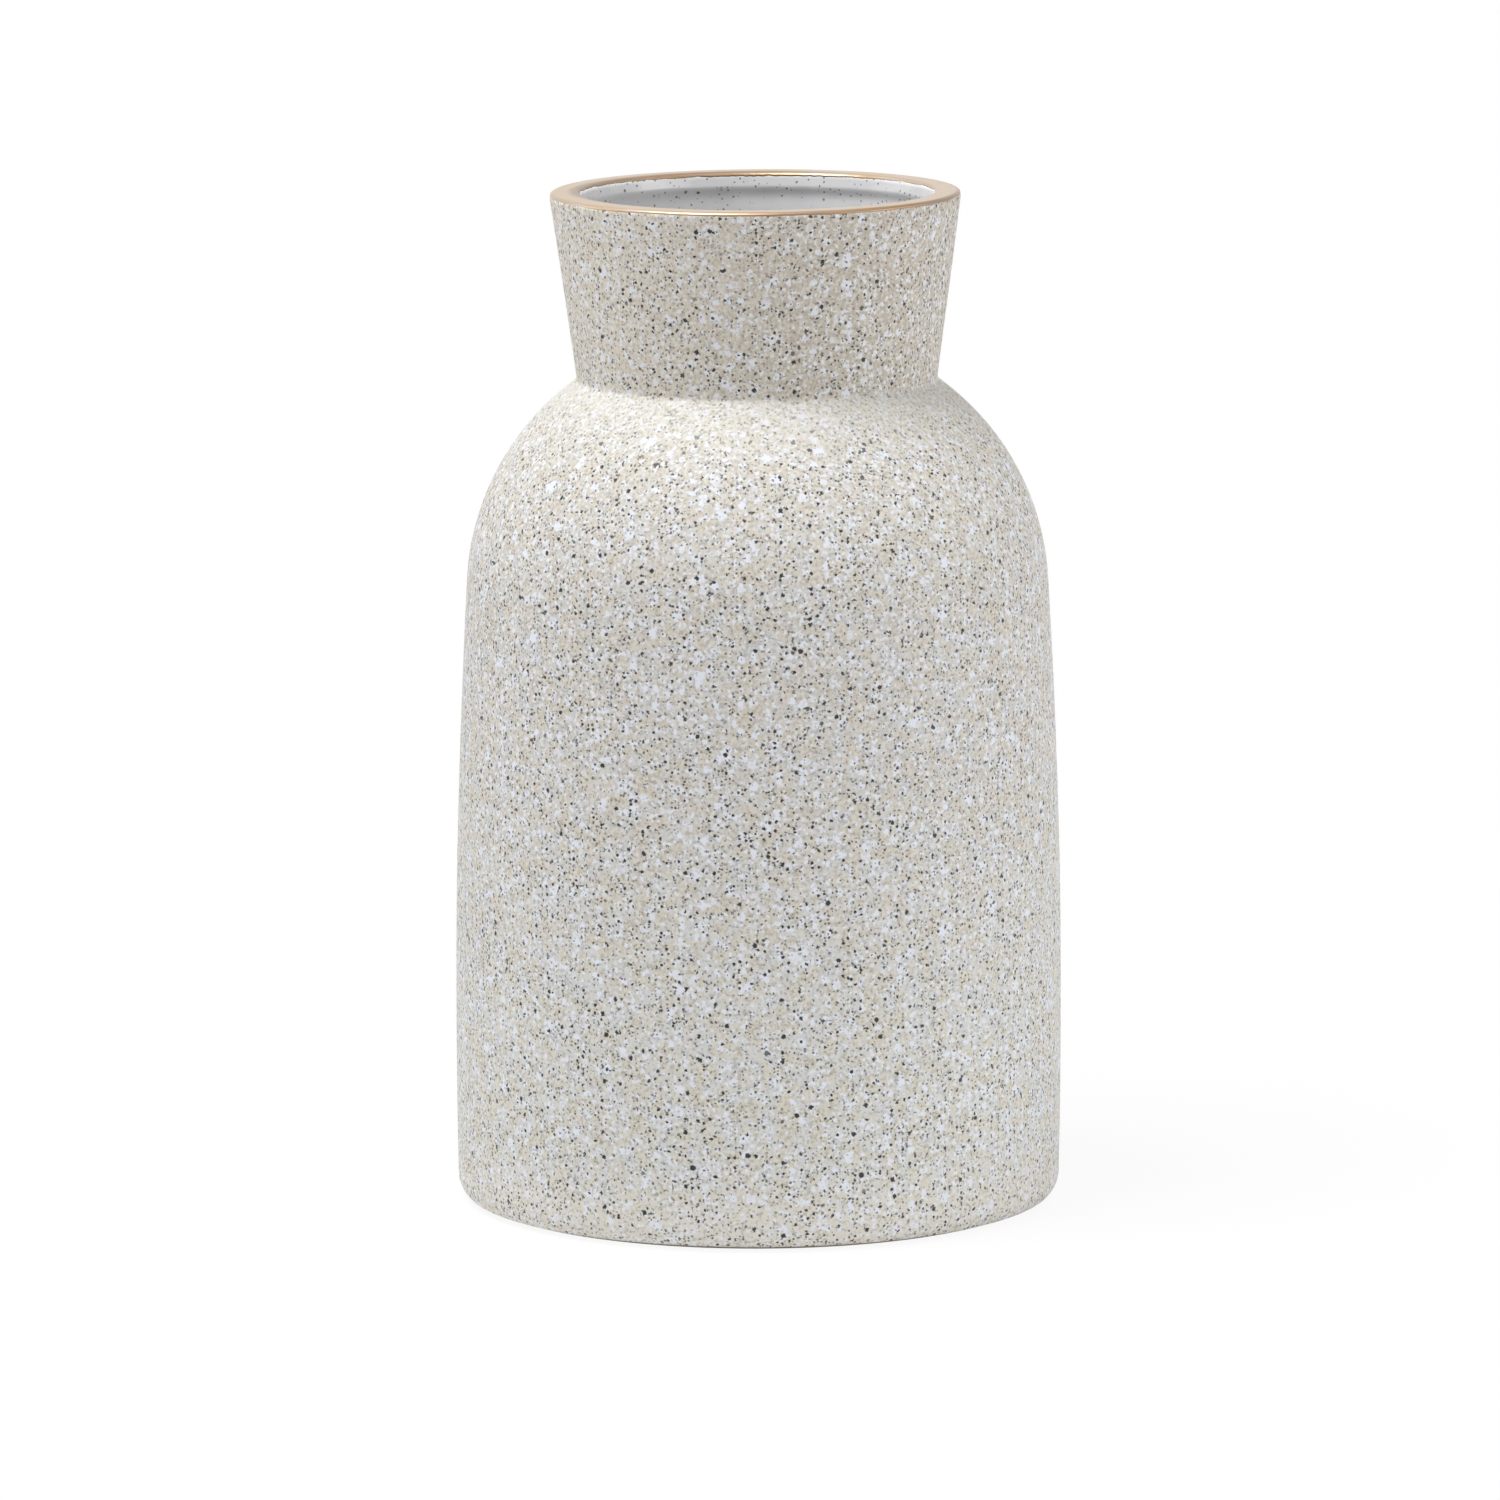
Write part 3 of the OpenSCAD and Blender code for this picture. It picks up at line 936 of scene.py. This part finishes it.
def lamp(name, bearing_deg, rise_deg, away, width, height, power):
    """A soft box that faces the vase's middle, from a bearing (0 is the camera's side, 90 the
    right) and a rise above the horizon."""
    data = bpy.data.lights.new(name, "AREA")
    data.shape, data.size, data.size_y, data.energy = "RECTANGLE", width, height, power
    box = bpy.data.objects.new(name, data)
    side, rise = np.radians(bearing_deg), np.radians(rise_deg)
    out = Vector((np.sin(side) * np.cos(rise), -np.cos(side) * np.cos(rise), np.sin(rise)))
    box.location = Vector((0, 0, HEIGHT / 2)) + out * away
    box.rotation_mode = "QUATERNION"
    box.rotation_quaternion = out.to_track_quat("Z", "Y")
    bpy.context.scene.collection.objects.link(box)


def shown_or_lit(finish, shown, lit):
    """One shader for what the camera, mirrors and glass see, and another for what lights the
    vase."""
    path = finish.node("ShaderNodeLightPath", {}, {}, "Is Camera Ray")
    sight = path.or_more(path.twin("Is Glossy Ray")).or_more(path.twin("Is Transmission Ray"))
    return finish.node("ShaderNodeMixShader", {}, {0: sight, 1: lit, 2: shown})


def make_floor():
    """A flat square far wider than the view. It shows as white, and a little darker round the foot,
    where the vase's shadow falls."""
    half, z = FLOOR_HALF, -FLOOR_GAP
    corners = [(-half, -half, z), (half, -half, z), (half, half, z), (-half, half, z)]
    mesh = bpy.data.meshes.new("floor")
    mesh.from_pydata(corners, [], [(0, 1, 2, 3)])
    floor = bpy.data.objects.new("floor", mesh)
    bpy.context.scene.collection.objects.link(floor)
    f = Finish(bpy.data.materials.new("studio_floor"))
    away = f.vector("LENGTH", f.place(), (0, 0, 0), "Value")
    clear = f.ramp(away, *SHADOW_FADES) * (1 - SHADOW_SHOWN) + SHADOW_SHOWN
    pale = f.node("ShaderNodeBsdfDiffuse", {}, {"Color": (FLOOR_TONE, FLOOR_TONE, FLOOR_TONE, 1)})
    white = f.node("ShaderNodeEmission", {}, {"Color": (1, 1, 1, 1), "Strength": 1.0})
    shown = f.node("ShaderNodeMixShader", {}, {0: clear, 1: pale, 2: white})
    dress(floor, f.close(shown_or_lit(f, shown, pale)))


def make_world():
    """White to the camera, and a dimmer even light on the vase."""
    f = Finish(bpy.data.worlds.new("studio"), "ShaderNodeOutputWorld")
    white = f.node("ShaderNodeBackground", {}, {"Color": (1, 1, 1, 1), "Strength": 1.0})
    dim = f.node("ShaderNodeBackground", {}, {"Color": (1, 1, 1, 1), "Strength": WORLD_LIGHT})
    bpy.context.scene.world = f.close(shown_or_lit(f, white, dim))


make_floor()
make_world()
for name, settings in LAMPS.items():
    lamp(name, *settings)
bpy.context.scene.view_settings.view_transform = "Standard"


# ---- Image points --------------------------------------------------------------------------------

def furthest(points, axis, sign):
    """Where the point shows that lies furthest along an image axis, 0 for x and 1 for y."""
    shown = shown_at(points)
    return shown[np.argmax(shown[:, axis] * sign)]


def crease_end(sign):
    """Where the crease ends in the outline: of the rings near it, the one whose edge lies nearest
    the middle of the image."""
    face = coat_rings[:len(outside())]
    near = np.abs(face[..., 2].mean(axis=1) - CREASE_Z) < CREASE_BAND
    edges = np.array([furthest(ring, 0, sign) for ring in face[near]])
    return edges[np.argmin(edges[:, 0] * sign)]


def in_view(points, pieces):
    """Those of the points that the camera sees: a ray to each one meets no piece on its way."""
    graph = bpy.context.evaluated_depsgraph_get()
    trees = [BVHTree.FromObject(piece, graph) for piece in pieces]
    eye = camera.matrix_world.translation

    def clear(point):
        way = Vector(point) - eye
        return all(tree.ray_cast(eye, way, way.length - SKIN_DEPTH)[0] is None for tree in trees)

    return points[[clear(point) for point in points]]


def edge_near(edge_points, x):
    """Where an edge, given as points, shows nearest a column of the image."""
    shown = shown_at(edge_points)
    return shown[np.argmin(np.abs(shown[:, 0] - x))]


def report_points():
    """Works out how far in x and y each thing shows from its image point, but neither writes nor
    returns it. An edge of the vase is the furthest of its points that way, and nothing stands
    before it."""
    skins = (coat_rings, lustre_rings, foot_rings)
    skin_points = np.concatenate([layer.reshape(-1, 3) for layer in skins])
    rim = skin_points[skin_points[:, 2] > HEIGHT - RIM_BAND]
    outer_edge, inner_edge = lustre_rings[0], lustre_rings[len(lustre_rings) // 2 - 1]
    high = liner_rings[..., 2] > HEIGHT - LIP_BAND
    beside = np.abs(liner_rings[..., 0]) > MOUTH_SIDES
    mouth = in_view(liner_rings[high & beside], [coat, lustre, liner])
    lustre_front, lustre_back = outer_edge[outer_edge[:, 1] < 0], inner_edge[inner_edge[:, 1] > 0]
    shown = {
        "left": furthest(skin_points, 0, -1),
        "right": furthest(skin_points, 0, 1),
        "top": furthest(skin_points, 1, -1),
        "bottom": furthest(skin_points, 1, 1),
        "rim_left": furthest(rim, 0, -1),
        "rim_right": furthest(rim, 0, 1),
        "crease_left": crease_end(-1),
        "crease_right": crease_end(1),
        "mouth_left": furthest(mouth, 0, -1),
        "mouth_right": furthest(mouth, 0, 1),
        "lustre_front": edge_near(lustre_front, IMAGE_POINTS["lustre_front"][0]),
        "lustre_back": edge_near(lustre_back, IMAGE_POINTS["lustre_back"][0]),
    }
    shown.update({name: shown_at(spot[None])[0] for name, spot in iron_places.items()})

    def miss(have, want):
        return None if want is None else round(float(have - want), 2)

    off = {
        name: [miss(have, want) for have, want in zip(shown[name], point)]
        for name, point in IMAGE_POINTS.items()
    }


report_points()
